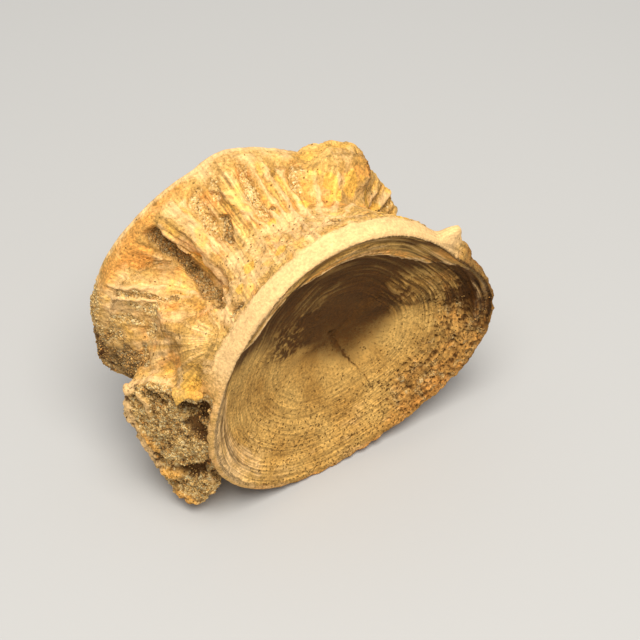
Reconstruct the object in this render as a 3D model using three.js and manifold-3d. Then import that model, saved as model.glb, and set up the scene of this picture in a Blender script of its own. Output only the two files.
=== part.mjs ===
// Fossil vertebra, lying on its side as it rests on a table.
//
// The centrum is short and shaped like an hourglass: two hollow cones set point to point, with thick
// rounded rims and a narrow waist between them. Its axis runs along Y and the front cup faces -Y.
// The back rim is broken away at the upper right, and the stump of a broken process stands out at the
// lower left. The whole fossil is one solid, in millimetres, with +Z up and its origin on the table
// under its middle. Angles run round the axis from +X towards +Z, in degrees.

import * as THREE from 'three';
import { mergeVertices } from 'three/addons/utils/BufferGeometryUtils.js';
import { ImprovedNoise } from 'three/addons/math/ImprovedNoise.js';
import Module from 'manifold-3d';

const wasm = await Module();
wasm.setup();

// ---------------------------------------------------------------- driving dimensions

const LENGTH = 36; // front lip to back lip, along the axis
const AXIS_HEIGHT = 35.8; // axis above the table
const FRONT_RADIUS = 33.5; // mean radius of the front lip
const BACK_RADIUS = 35; // mean radius of the back lip

const RIM_BAND = 6.5; // width of the smooth band around the front rim
const BACK_BAND = 5.2; // width of the band around the back rim
const RIM_SWELL = 0.05; // how far the bands swell beyond their lips, as a share of the radius
const BAND_EDGE = 0.8; // how much of that swell is left where a band ends

const WAIST = 0.62; // narrowest part, as a share of the rim radius
const WAIST_AT = 0.53; // where it lies, as a share of the length

// Stretches where bone and matrix fill the waist: middle angle, half width, and the share added.
const FILLS = [
  { angle: 118, half: 56, share: 0.24 },
  { angle: 170, half: 34, share: 0.2 },
  { angle: 204, half: 26, share: 0.14 },
  { angle: 290, half: 44, share: 0.12 },
];

const FRONT_CUP = { depth: 12.5, apexX: 1.6, apexZ: -8.8 }; // the apex lies off the axis
const BACK_CUP = { depth: 11, apexX: -2, apexZ: 1 };
const CUP_CURVE = 1.35; // 1 is a straight cone, more is rounder at the bottom
const APEX_PULL = 1.2; // how quickly a cup's sections centre on the axis towards its lip

// Outline of each rim: waves around the circle, each a share of the mean radius, with its peak angle.
const FRONT_WAVES = [
  { count: 1, size: 0.07, peak: 245 },
  { count: 2, size: 0.016, peak: 93 },
  { count: 3, size: 0.07, peak: 101 },
  { count: 4, size: 0.011, peak: 68 },
];
const BACK_WAVES = [
  { count: 1, size: 0.089, peak: 175 },
  { count: 2, size: 0.055, peak: 155 },
  { count: 3, size: 0.055, peak: 175 },
];

// Stretches of the back rim that are broken away, or left standing: middle angle, half width, loss of
// radius as a share, and how far the edge is set back along the axis.
const BACK_BREAKS = [
  { angle: 40, half: 76, loss: 0.2, setback: 6 },
  { angle: 66, half: 17, loss: -0.14, setback: -1.5 },
  { angle: 97, half: 22, loss: -0.05, setback: 0 },
  { angle: 199, half: 18, loss: -0.05, setback: 0 },
  { angle: 226, half: 20, loss: 0.1, setback: 3 },
];

// A knob on the outside of the front rim.
const KNOB = { angle: 43, half: 11, height: 4 };

// Masses and hollows of the side between the rims: middle angle, half width, place along the length
// and half length as shares of it, and height.
const SIDE_MASSES = [
  { angle: 66, half: 26, at: 0.52, reach: 0.4, height: 5 },
  { angle: 20, half: 34, at: 0.34, reach: 0.34, height: -5 },
  { angle: 146, half: 13, at: 0.6, reach: 0.3, height: -6 },
  { angle: 168, half: 26, at: 0.36, reach: 0.3, height: 5 },
  { angle: 186, half: 22, at: 0.58, reach: 0.24, height: 3 },
];
const HUMP_TOP = 0.35; // flat share of each fill, break, mass and knob

const STRUTS = { count: 17, height: 1.3 }; // bony ridges around the side
const CRUST = { height: 0.7, size: 7 }; // lumps of matrix on the side

// The stump of the broken process ends in a flat fracture, upright and turned from facing -X towards
// -Y. Its outline runs along the fracture, from the back of the stump to the front rim, and up.
const FRACTURE = { turn: 29.4, distance: 29.2 }; // distance from the axis
const STUMP_OUTLINE = [
  [19.5, 42.5],
  [25, 39.5],
  [32, 38],
  [38.2, 33],
  [38.8, 24],
  [36, 17],
  [33, 11.5],
  [29, 5],
  [27, 2],
  [24, 2],
  [21, 5],
  [18.5, 9],
];
const STUMP_DEPTH = 17; // how far it reaches into the centrum
const STUMP_ROUNDING = 1.2; // radius of its edges

// The centrum's own mass ends at the same fracture from here backwards, just behind the front rim.
const FRACTURE_FROM = 19.6;

// A rounded lump at the foot of the stump.
const LUMP = { middle: new THREE.Vector3(-32.6, 11.8, 3.2), radius: 5 };

// Divisions of the faceted surface.
const AROUND = 84;
const CUP_STEPS = 9;
const SIDE_STEPS = 18;
const ROUNDING_STEPS = 3;
const LUMP_DETAIL = 3;

// ---------------------------------------------------------------- small helpers

const noise = new ImprovedNoise();
const radians = THREE.MathUtils.degToRad;
const smooth = THREE.MathUtils.smoothstep;
const mix = THREE.MathUtils.lerp;

// Smallest turn between two angles, without its sign.
function turnBetween(a, b) {
  const turn = Math.abs(a - b) % 360;
  return turn > 180 ? 360 - turn : turn;
}

// 1 around the middle, falling smoothly to 0 at the given distance.
function hump(distance, half) {
  return 1 - smooth(Math.abs(distance), half * HUMP_TOP, half);
}

// Radius of a wavy outline at an angle.
function outline(radius, waves, angle) {
  const share = waves.reduce(
    (sum, wave) => sum + wave.size * Math.cos(radians(wave.count * (angle - wave.peak))),
    1,
  );
  return radius * share;
}

// ---------------------------------------------------------------- centrum

// The stations of the profile, from the front apex out over the front rim, along the side, over the
// back rim and in to the back apex: a radius as a share of the rim's, and a place along the axis.
function profile() {
  const rimTop = 1 + RIM_SWELL;
  const rimTurn = 1 + RIM_SWELL * 0.7;
  const stations = cupStations('front cup', (depth) => FRONT_CUP.depth * depth);
  stations.push({ share: rimTurn, y: RIM_BAND * 0.16, kind: 'front rim' });
  stations.push({ share: rimTop, y: RIM_BAND * 0.5, kind: 'front rim' });
  for (let i = 0; i <= SIDE_STEPS; i += 1) {
    const y = mix(RIM_BAND, LENGTH - BACK_BAND, i / SIDE_STEPS);
    stations.push({ share: 1 + RIM_SWELL * BAND_EDGE, y, kind: 'side' });
  }
  stations.push({ share: rimTop, y: LENGTH - BACK_BAND * 0.5, kind: 'back rim' });
  stations.push({ share: rimTurn, y: LENGTH - BACK_BAND * 0.16, kind: 'back rim' });
  stations.push(...cupStations('back cup', (depth) => LENGTH - BACK_CUP.depth * depth).reverse());
  return stations;
}

// A cup's stations from apex to lip. yAt turns a share of the cup's depth into a place on the axis.
function cupStations(kind, yAt) {
  const stations = [];
  for (let i = 0; i <= CUP_STEPS; i += 1) {
    const share = i / CUP_STEPS;
    stations.push({ share, y: yAt(1 - share ** CUP_CURVE), kind });
  }
  return stations;
}

// How much narrower the side is than the bands: a hollow curve down to the waist and up again.
function waisted(angle, y) {
  const waistY = WAIST_AT * LENGTH;
  const bandEnd = y < waistY ? RIM_BAND : LENGTH - BACK_BAND;
  const towardsWaist = (y - bandEnd) / (waistY - bandEnd);
  const waist = FILLS.reduce(
    (share, fill) => share + fill.share * hump(turnBetween(angle, fill.angle), fill.half),
    WAIST,
  );
  return mix(1, waist / (1 + RIM_SWELL * BAND_EDGE), smooth(towardsWaist, 0, 1.05));
}

function centrum() {
  const stations = profile();
  const points = stations.map((station) => new THREE.Vector2(station.share, station.y));
  const geometry = new THREE.LatheGeometry(points, AROUND);
  const position = geometry.attributes.position;
  for (let i = 0; i < position.count; i += 1) {
    const angle = THREE.MathUtils.radToDeg(Math.atan2(position.getZ(i), position.getX(i)));
    position.setXYZ(i, ...placed(stations[i % stations.length], angle));
  }
  return solidFrom(geometry);
}

// Where a station lies at an angle around the axis.
function placed(station, angle) {
  const along = station.y / LENGTH;
  const broken = { loss: 0, setback: 0 };
  for (const gap of BACK_BREAKS) {
    const share = hump(turnBetween(angle, gap.angle), gap.half);
    broken.loss = 1 - (1 - broken.loss) * (1 - gap.loss * share);
    broken.setback += gap.setback * share;
  }
  const front = outline(FRONT_RADIUS, FRONT_WAVES, angle);
  const back = outline(BACK_RADIUS, BACK_WAVES, angle) * (1 - broken.loss);
  const y = station.y - broken.setback * smooth(along, 0.45, 1) * station.share ** 2;
  let radius = station.share * mix(front, back, smooth(along, 0.1, 0.9));
  if (station.kind === 'side') {
    radius *= waisted(angle, station.y);
    radius += sideRelief(angle, along, radius, y);
  }
  if (station.kind === 'front rim') {
    radius += KNOB.height * hump(turnBetween(angle, KNOB.angle), KNOB.half);
  }
  const apex = apexShift(station);
  const x = radius * Math.cos(radians(angle)) + apex.x;
  const z = radius * Math.sin(radians(angle)) + apex.z + AXIS_HEIGHT;
  return [x, y, z];
}

// How far a cup's section is centred off the axis.
function apexShift(station) {
  const cups = { 'front cup': FRONT_CUP, 'back cup': BACK_CUP };
  const cup = cups[station.kind];
  if (!cup) {
    return { x: 0, z: 0 };
  }
  const pull = (1 - station.share) ** APEX_PULL;
  return { x: cup.apexX * pull, z: cup.apexZ * pull };
}

// Masses, struts and matrix lumps that stand out from the side between the rims.
function sideRelief(angle, along, radius, y) {
  const middle = smooth(along, 0.16, 0.3) * (1 - smooth(along, 0.74, 0.86));
  let height = STRUTS.height * middle * Math.cos(radians(STRUTS.count * angle));
  for (const mass of SIDE_MASSES) {
    const around = hump(turnBetween(angle, mass.angle), mass.half);
    height += mass.height * around * hump(along - mass.at, mass.reach);
  }
  const x = radius * Math.cos(radians(angle));
  const z = radius * Math.sin(radians(angle));
  height += CRUST.height * middle * noise.noise(x / CRUST.size, y / CRUST.size, z / CRUST.size);
  return height;
}

// ---------------------------------------------------------------- stump and lump

// The outline stood up along the fracture and thickened back into the centrum, with rounded edges.
function stump() {
  const shape = new THREE.Shape(STUMP_OUTLINE.map(([along, up]) => new THREE.Vector2(along, up)));
  const geometry = new THREE.ExtrudeGeometry(shape, {
    depth: STUMP_DEPTH,
    bevelThickness: STUMP_ROUNDING,
    bevelSize: STUMP_ROUNDING,
    bevelOffset: -STUMP_ROUNDING,
    bevelSegments: ROUNDING_STEPS,
  });
  geometry.translate(0, 0, STUMP_ROUNDING - FRACTURE.distance);
  return againstFracture(geometry);
}

// Everything beyond the fracture.
function beyondFracture() {
  const slab = new THREE.BoxGeometry(LENGTH * 2, AXIS_HEIGHT * 4, LENGTH);
  slab.translate(FRACTURE_FROM + LENGTH, AXIS_HEIGHT, -FRACTURE.distance - LENGTH / 2);
  return againstFracture(slab);
}

// A shape drawn along and up the fracture, with depth inwards, stood where the fracture is.
function againstFracture(geometry) {
  geometry.rotateX(Math.PI / 2);
  geometry.rotateZ(Math.PI / 2 + radians(FRACTURE.turn));
  return solidFrom(geometry);
}

function lump() {
  const geometry = new THREE.IcosahedronGeometry(LUMP.radius, LUMP_DETAIL);
  geometry.translate(LUMP.middle.x, LUMP.middle.y, LUMP.middle.z);
  return solidFrom(geometry);
}

// ---------------------------------------------------------------- joining and cutting

// A closed solid from a geometry: shared vertices merged, and triangles with no area dropped.
function solidFrom(geometry) {
  geometry.deleteAttribute('normal');
  geometry.deleteAttribute('uv');
  const merged = mergeVertices(geometry, 1e-4);
  const corners = merged.index.array;
  const kept = [];
  for (let i = 0; i < corners.length; i += 3) {
    const [a, b, c] = [corners[i], corners[i + 1], corners[i + 2]];
    if (a !== b && b !== c && c !== a) {
      kept.push(a, b, c);
    }
  }
  return new wasm.Manifold(new wasm.Mesh({
    numProp: 3,
    vertProperties: new Float32Array(merged.attributes.position.array),
    triVerts: new Uint32Array(kept),
  }));
}

function geometryFrom(solid) {
  const mesh = solid.getMesh();
  const geometry = new THREE.BufferGeometry();
  geometry.setAttribute('position', new THREE.BufferAttribute(mesh.vertProperties, 3));
  geometry.setIndex(new THREE.BufferAttribute(mesh.triVerts, 1));
  geometry.computeVertexNormals();
  return geometry;
}

// Everything below the table top, which wears small flats where the fossil touches it.
function belowTable() {
  const slab = new THREE.BoxGeometry(LENGTH * 5, LENGTH * 5, LENGTH);
  slab.translate(0, 0, -LENGTH / 2);
  return solidFrom(slab);
}

function vertebraGeometry() {
  const bone = centrum().subtract(beyondFracture());
  const body = bone.add(stump()).add(lump()).subtract(belowTable());
  const geometry = geometryFrom(body);
  geometry.computeBoundingBox();
  const middle = geometry.boundingBox.getCenter(new THREE.Vector3());
  geometry.translate(-middle.x, -middle.y, -geometry.boundingBox.min.z);
  return geometry;
}

// ---------------------------------------------------------------- the fossil

const fossilBone = new THREE.MeshStandardMaterial({ color: 0xc9a467, roughness: 0.9, metalness: 0 });
const vertebra = new THREE.Mesh(vertebraGeometry(), fossilBone);
vertebra.name = 'vertebra';

const fossil = new THREE.Group();
fossil.add(vertebra);

export default fossil;
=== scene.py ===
"""A fossil vertebra lying on its side: mineralised bone with sandy matrix in its hollows.

Sculpting is done in the fossil's own frame, in millimetres: the centrum's axis runs along Y from the
front lip at 0, +Z is up and the table is at 0. Angles run round the axis from +X towards +Z, in degrees.
The finished meshes are in metres, in the row frame.
"""

import math
from itertools import product
from types import SimpleNamespace

import bmesh
import bpy
import numpy as np
from bpy.props import FloatProperty, FloatVectorProperty, IntProperty, PointerProperty
from bpy.types import Operator, Panel, PropertyGroup
from mathutils import Matrix, Vector
from mathutils.bvhtree import BVHTree


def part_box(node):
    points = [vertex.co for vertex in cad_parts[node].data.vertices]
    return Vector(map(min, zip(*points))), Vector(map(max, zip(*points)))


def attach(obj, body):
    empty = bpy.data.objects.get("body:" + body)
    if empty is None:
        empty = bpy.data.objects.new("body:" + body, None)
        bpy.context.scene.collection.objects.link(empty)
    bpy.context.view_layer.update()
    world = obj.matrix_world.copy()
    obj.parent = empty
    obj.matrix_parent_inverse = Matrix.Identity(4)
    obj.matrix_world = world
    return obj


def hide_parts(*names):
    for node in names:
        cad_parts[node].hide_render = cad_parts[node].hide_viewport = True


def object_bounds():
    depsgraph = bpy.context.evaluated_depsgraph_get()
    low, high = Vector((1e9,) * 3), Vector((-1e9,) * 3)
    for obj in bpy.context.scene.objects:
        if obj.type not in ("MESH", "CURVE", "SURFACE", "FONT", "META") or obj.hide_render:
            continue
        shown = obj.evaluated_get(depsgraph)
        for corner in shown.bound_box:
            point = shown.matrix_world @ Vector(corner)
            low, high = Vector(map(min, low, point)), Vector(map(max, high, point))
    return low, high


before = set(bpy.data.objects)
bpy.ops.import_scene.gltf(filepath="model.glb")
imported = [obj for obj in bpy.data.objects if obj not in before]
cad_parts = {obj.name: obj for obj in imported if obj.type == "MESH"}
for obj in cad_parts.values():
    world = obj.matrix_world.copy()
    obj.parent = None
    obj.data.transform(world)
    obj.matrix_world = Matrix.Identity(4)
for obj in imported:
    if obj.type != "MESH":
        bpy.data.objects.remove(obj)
cad_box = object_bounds()

bl_info = {
    "name": "Fossil Vertebra",
    "version": (1, 0, 0),
    "blender": (4, 5, 0),
    "location": "3D View > Sidebar > Fossil",
    "description": "Builds a fossil vertebra with its matrix grains, and a plain studio around it",
    "category": "Object",
}

MM = 0.001

# ------------------------------------------------------------------ where the fossil lies

NODE = "vertebra"
BONE = "fossil_bone"
GRAINS = "matrix_grains"
node_low, node_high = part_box(NODE)
LENGTH = (node_high.y - node_low.y) / MM  # front lip to back lip
AXIS_OFFSET = 4.07  # how far the axis lies to the right of the middle of the box
AXIS_FOOT = Vector(((node_low.x + node_high.x) / 2 / MM + AXIS_OFFSET, node_low.y / MM, node_low.z / MM))

# ------------------------------------------------------------------ shape of the centrum

BAND_EDGE = 0.8  # how much of the rim's swell is left where the side begins
CUP_CURVE = 1.35  # 1 is a straight cone, more is rounder at the bottom
APEX_PULL = 1.2  # how quickly a cup's sections centre on the axis towards its lip
FRONT_APEX = (1.6, -8.8)  # the apexes lie off the axis, in X and Z
BACK_APEX = (-2.0, 1.0)
WAIST_AT = 0.53  # place of the narrowest part, as a share of the length
WAIST_WAVES = ((3, 1.2, 20), (7, 1.0, 35), (13, 0.5, 10))  # how it wanders: (count, millimetres, peak angle)
WAIST_ROUNDNESS = 0.7  # 1 is a narrow valley round the waist, less is a wider one

# Stretches where bone and matrix fill the waist: (middle angle, half width, share of the radius added).
FILLS = ((118, 56, 0.24), (170, 34, 0.2), (204, 26, 0.14), (290, 44, 0.12))

# Outline of each rim: waves around the circle as (count, share of the radius, peak angle).
FRONT_WAVES = ((1, 0.07, 245), (2, 0.016, 93), (3, 0.07, 101), (4, 0.011, 68))
BACK_WAVES = ((1, 0.089, 175), (2, 0.055, 155), (3, 0.055, 175))

# Stretches of the back rim that are broken away or left standing:
# (middle angle, half width, loss of radius as a share, setback along the axis).
BACK_BREAKS = (
    (40, 76, 0.2, 6), (66, 17, -0.14, -1.5), (97, 22, -0.05, 0), (199, 18, -0.05, 0), (226, 20, 0.1, 3),
)

# Masses and hollows of the side: (middle angle, half width, place along, half length, height).
SIDE_MASSES = (
    (66, 26, 0.52, 0.4, 5),
    (20, 34, 0.34, 0.34, -5),
    (146, 13, 0.6, 0.3, -6),
    (168, 26, 0.36, 0.3, 5),
    (186, 22, 0.58, 0.24, 3),
)
RIM_CORNERS = ((42, 8, 3.6), (31, 15, 2.0))  # on the front rim: middle angle, half width, height

# The stump ends in a flat, upright fracture. Places on it are distances along it, growing towards the
# back of the fossil, and heights above the table.
FRACTURE_TURN = math.radians(29.4)  # from facing -X towards -Y
FRACTURE_DISTANCE = 29.2  # from the axis
FRACTURE_FROM = 19.6  # the centrum's own mass ends at the fracture from here backwards
STUMP_OUTLINE = (
    (19.5, 42.5), (25, 39.5), (32, 38), (38.2, 33), (38.8, 24), (36, 17), (33, 11.5), (29, 5), (27, 2),
    (24, 2), (21, 5), (18.5, 9),
)
STUMP_DEPTH = 17
STUMP_ROUNDING = 1.2
LUMP_MIDDLE = Vector((-32.6, 11.8, 3.2))
LUMP_RADIUS = 5

# Steps of the spun profile: cup, rounded lip, band, side.
CUP_STEPS = 30
LIP_STEPS = 5
BAND_STEPS = 6
SIDE_STEPS = 40
SPIN_STEPS = 240


# ------------------------------------------------------------------ settings

def linear(hex_colour):
    """Linear RGBA from an sRGB hex colour."""
    channels = [int(hex_colour[i : i + 2], 16) / 255 for i in (0, 2, 4)]
    return tuple(c / 12.92 if c <= 0.04045 else ((c + 0.055) / 1.055) ** 2.4 for c in channels) + (1.0,)


def length(name, description, millimetres):
    """A length property whose default is given in millimetres."""
    return FloatProperty(
        name=name, description=description, default=millimetres * MM, min=0.0, precision=5, unit="LENGTH"
    )


def share(name, description, default):
    """A property that is a share of something."""
    return FloatProperty(
        name=name, description=description, default=default, min=0.0, max=1.0, subtype="FACTOR"
    )


def colour(name, description, hex_colour):
    """A colour property whose default is given as an sRGB hex value."""
    return FloatVectorProperty(
        name=name, description=description, default=linear(hex_colour), size=4, min=0.0, max=1.0,
        subtype="COLOR",
    )


class FossilSizes(PropertyGroup):
    """Sizes of the bone and of the grains that stick to it."""

    axis_height: length("Axis height", "Height of the centrum's axis above the table", 35.8)
    front_radius: length("Front radius", "Mean radius of the front lip", 33.5)
    back_radius: length("Back radius", "Mean radius of the back lip", 35)
    front_band: length("Front band", "Width of the smooth band around the front rim", 4.3)
    back_band: length("Back band", "Width of the band around the back rim", 5.2)
    lip: length("Lip", "Width of the rounded lips", 1.1)
    swell: share("Rim swell", "How far the bands swell beyond their lips, as a share of the radius", 0.05)
    waist: share("Waist", "Radius of the waist as a share of the rim's", 0.62)
    front_depth: length("Front cup depth", "Depth of the front cup", 12.5)
    back_depth: length("Back cup depth", "Depth of the back cup", 11)
    voxel: length("Voxel", "Size of the voxels that join the bone's masses", 0.34)
    faces: IntProperty(name="Triangles", description="Most triangles in the bone", default=190000, min=1000)
    grain: length("Grain", "Middle size of a sand grain", 0.33)
    grains: IntProperty(name="Grains", description="Number of sand grains", default=9800, min=0, max=9900)


class FossilColours(PropertyGroup):
    """Colours of the bone, its stains and painted shade, and its matrix."""

    tan: colour("Tan", "Ringed bone of the cups", "dcae60")
    cream: colour("Cream", "Clean cortical bone of the rims and struts", "ecc184")
    amber: colour("Amber", "Bone stained by iron", "e29a48")
    gold: colour("Gold", "Thin flakes stained yellow", "f3b94e")
    sand: colour("Sand", "Sandy phosphate matrix", "deb36c")
    # Umber is both a real dark stain and the colour of painted shade: in the cup's depth, under the lip and
    # the fracture's sheet, in pits and between grains, and low on the left.
    umber: colour("Umber", "Dark stain in pits and in the cup", "4e2c08")


class FossilStage(PropertyGroup):
    """The plain studio."""

    floor: colour("Floor", "Pale matt table", "b4b4b3")
    light: FloatProperty(
        name="Light", description="Power of the overhead softbox", default=4.5, min=0.0, unit="POWER"
    )
    fill: FloatProperty(name="Fill", description="Strength of the even light all round", default=0.6, min=0.0)


# ------------------------------------------------------------------ small maths

RANDOM = np.random.default_rng(3)
SHUFFLE = RANDOM.permutation(256)
GRADIENTS = RANDOM.normal(size=(256, 3))
GRADIENTS /= np.linalg.norm(GRADIENTS, axis=1)[:, None]
SPOTS = RANDOM.random((256, 4))  # a cell's middle, and a number of its own
SEED_STEP = np.array((13.7, 5.3, 9.1))  # how far apart the patterns of two seeds lie
MEAN_RADIUS = 20  # of the fossil's surfaces about the axis, for patterns that run round it


def smooth(value, low, high):
    """0 below low, 1 above high, and a smooth step between them."""
    t = np.clip((value - low) / (high - low), 0, 1)
    return t * t * (3 - 2 * t)


def mix(a, b, t):
    return a + (b - a) * t


def hump(distance, half, top=0.35):
    """1 around the middle, falling smoothly to 0 at half; top is the flat share."""
    return 1 - smooth(np.abs(distance), half * top, half)


def turn(angle, other):
    """Signed turn from one angle to another, from -180 to 180."""
    return (angle - other + 180) % 360 - 180


def shuffled(cell):
    """A number from 0 to 255 that belongs to a cell of space."""
    cell = cell & 255
    return SHUFFLE[(SHUFFLE[(SHUFFLE[cell[:, 0]] + cell[:, 1]) & 255] + cell[:, 2]) & 255]


def lumps(points, size, seed=0):
    """Smooth noise from about -1 to 1, with lumps of that size."""
    scaled = points / size + seed * SEED_STEP
    home = np.floor(scaled).astype(int)
    inside = scaled - home
    ease = inside**3 * (inside * (inside * 6 - 15) + 10)
    total = np.zeros(len(points))
    for corner in product((0, 1), repeat=3):
        weight = np.prod(np.where(corner, ease, 1 - ease), axis=1)
        slope = GRADIENTS[shuffled(home + corner)]
        total += weight * np.einsum("ij,ij->i", slope, inside - corner)
    return total * 1.7


def rough(points, size, seed=0, octaves=3):
    """Noise with finer and finer lumps added, each octave half as large and half as high."""
    return sum(lumps(points, size / 2**octave, seed + octave) / 2**octave for octave in range(octaves))


def cells(points, size, seed=0):
    """Distance to the middle of the nearest random cell, in cells, and a number from 0 to 1 for the cell."""
    scaled = points / size + seed * SEED_STEP
    home = np.floor(scaled).astype(int)
    near = np.full(len(points), 9.0)
    number = np.zeros(len(points))
    for step in product((-1, 0, 1), repeat=3):
        spot = SPOTS[shuffled(home + step)]
        distance = np.linalg.norm(home + step + spot[:, :3] - scaled, axis=1)
        closer = distance < near
        near[closer] = distance[closer]
        number[closer] = spot[closer, 3]
    return near, number


def grained(points, size, seed=0):
    """Rounded grains packed side by side: the height of the surface, from about -0.5 to 0.5, and a number."""
    near, number = cells(points, size, seed)
    return 0.5 - near, number


def streaks(where, fine, coarse, seed=0):
    """Noise drawn out along the fibres or rings: fine across them and coarse along them."""
    bearing = np.radians(where.angle)
    drawn = np.stack([where.across / fine, where.y / coarse, np.zeros(len(bearing))], axis=1)
    ring = MEAN_RADIUS / coarse
    drawn[:, 1] += ring * np.cos(bearing)
    drawn[:, 2] += ring * np.sin(bearing)
    return lumps(drawn, 1, seed)


def line_distance(chart, points):
    """Distance from each place on the chart to the line through the points."""
    points = np.asarray(points, float)
    nearest = np.linalg.norm(chart - points[0], axis=1)
    for start, end in zip(points, points[1:]):
        span = end - start
        reach = np.clip((chart - start) @ span / (span @ span), 0, 1)
        nearest = np.minimum(nearest, np.linalg.norm(chart - start - reach[:, None] * span, axis=1))
    return nearest


def angle_line(angle, points):
    """A value that runs through (angle, value) points round the axis."""
    angles, values = zip(*points)
    return np.interp((angle - angles[0]) % 360 + angles[0], angles, values)


# ------------------------------------------------------------------ centrum

def profile(sizes):
    """The profile from apex to apex, front to back: share of the rim's radius, and place along the axis."""
    front_band, back_band, lip = sizes.front_band / MM, sizes.back_band / MM, sizes.lip / MM
    points = []
    for i in range(CUP_STEPS):
        out = i / CUP_STEPS
        points.append((out, sizes.front_depth / MM * (1 - out**CUP_CURVE)))
    points += rim_profile(sizes.swell, front_band, lip, lambda y: y)
    for i in range(SIDE_STEPS + 1):
        points.append((1 + sizes.swell * BAND_EDGE, mix(front_band, LENGTH - back_band, i / SIDE_STEPS)))
    points += reversed(rim_profile(sizes.swell, back_band, lip, lambda y: LENGTH - y))
    for i in reversed(range(CUP_STEPS)):
        out = i / CUP_STEPS
        points.append((out, LENGTH - sizes.back_depth / MM * (1 - out**CUP_CURVE)))
    return np.array(points)


def rim_profile(swell, band, lip, place):
    """A tight rounded lip and the flat band behind it, which rises to its outer edge and drops to the side.

    place turns a distance from the lip into a place along the axis.
    """
    points = []
    for i in range(LIP_STEPS + 1):
        bend = math.pi / 2 * i / LIP_STEPS
        points.append((1 + swell * 0.6 * math.sin(bend), place(lip * (1 - math.cos(bend)))))
    for i in range(1, BAND_STEPS):
        back = i / BAND_STEPS
        points.append((1 + swell * mix(0.6, 1, back**0.7), place(mix(lip, band, back))))
    return points


def waist_share(sizes, angle, y):
    """How much narrower the side is than the bands: a hollow curve down to the waist and up again."""
    waist = sizes.waist + sum(added * hump(turn(angle, middle), half) for middle, half, added in FILLS)
    waist_y = WAIST_AT * LENGTH
    for count, size, peak in WAIST_WAVES:
        waist_y = waist_y + size * np.cos(np.radians(count * (angle - peak)))
    band_end = np.where(y < waist_y, sizes.front_band / MM, LENGTH - sizes.back_band / MM)
    towards = (y - band_end) / (waist_y - band_end)
    return mix(1, waist / (1 + sizes.swell * BAND_EDGE), smooth(towards, 0, 1) ** WAIST_ROUNDNESS)


def outline(radius, waves, angle):
    """Radius of a wavy rim at each angle."""
    wave = sum(size * np.cos(np.radians(count * (angle - peak))) for count, size, peak in waves)
    return radius * (1 + wave)


def place_centrum(sizes, station, angle):
    """Where each station of the profile lies at its angle around the axis, in millimetres."""
    steps = profile(sizes)
    last = len(steps) - 1
    out, y = steps[station, 0], steps[station, 1]
    front_band, back_band = sizes.front_band / MM, sizes.back_band / MM
    along = y / LENGTH
    kept, setback = 1.0, 0.0
    for middle, half, loss, back in BACK_BREAKS:
        part = hump(turn(angle, middle), half)
        kept = kept * (1 - loss * part)
        setback = setback + back * part
    front = outline(sizes.front_radius / MM, FRONT_WAVES, angle)
    back = outline(sizes.back_radius / MM, BACK_WAVES, angle) * kept
    radius = out * mix(front, back, smooth(along, 0.1, 0.9))
    wall = (station >= CUP_STEPS) & (station <= last - CUP_STEPS)
    radius = radius * np.where(wall, waist_share(sizes, angle, y), 1)
    on_side = wall * smooth(y, front_band * 0.7, front_band) * (1 - smooth(y, LENGTH - back_band, LENGTH - 1))
    for middle, half, at, reach, height in SIDE_MASSES:
        radius = radius + on_side * height * hump(turn(angle, middle), half) * hump(along - at, reach)
    on_band = wall * smooth(y, 0.4, 1.8) * (1 - smooth(y, front_band * 0.6, front_band * 1.1))
    for middle, half, height in RIM_CORNERS:
        radius = radius + on_band * height * hump(turn(angle, middle), half, 0)
    pull = np.where(wall, 0, np.clip(1 - out, 0, 1) ** APEX_PULL)
    in_front = station < last / 2
    x = radius * np.cos(np.radians(angle)) + pull * np.where(in_front, FRONT_APEX[0], BACK_APEX[0])
    z = radius * np.sin(np.radians(angle)) + pull * np.where(in_front, FRONT_APEX[1], BACK_APEX[1])
    place = y - setback * smooth(along, 0.45, 1) * out**2
    points = np.stack([x, place, z + sizes.axis_height / MM], axis=1)
    outward, along_fracture = fracture_place(points)
    beyond = np.clip(outward - FRACTURE_DISTANCE, 0, None) * (along_fracture > FRACTURE_FROM)
    return points - beyond[:, None] * fracture_normal()


def fracture_normal():
    return np.array((-math.cos(FRACTURE_TURN), -math.sin(FRACTURE_TURN), 0))


def fracture_place(points):
    """How far points lie from the axis across the fracture, and how far along it."""
    across = fracture_normal()
    return points @ across, points @ np.array((across[1], -across[0], 0))


def centrum(sizes):
    """The hourglass body: its profile spun round the axis and then given its outline and masses."""
    bm = bmesh.new()
    layer = bm.verts.layers.int.new("station")
    before = None
    for i, (out, y) in enumerate(profile(sizes)):
        vertex = bm.verts.new((out, y, 0))
        vertex[layer] = i
        if before:
            bm.edges.new((before, vertex))
        before = vertex
    bmesh.ops.spin(
        bm, geom=bm.verts[:] + bm.edges[:], cent=(0, 0, 0), axis=(0, 1, 0), angle=-math.tau,
        steps=SPIN_STEPS, use_merge=True,
    )
    bmesh.ops.remove_doubles(bm, verts=bm.verts, dist=1e-5)
    bmesh.ops.recalc_face_normals(bm, faces=bm.faces)
    bmesh.ops.triangulate(bm, faces=bm.faces)
    stations = np.array([v[layer] for v in bm.verts])
    angles = np.array([math.degrees(math.atan2(v.co.z, v.co.x)) for v in bm.verts])
    for vertex, co in zip(bm.verts, place_centrum(sizes, stations, angles)):
        vertex.co = co
    return bm, stations, angles


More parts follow.
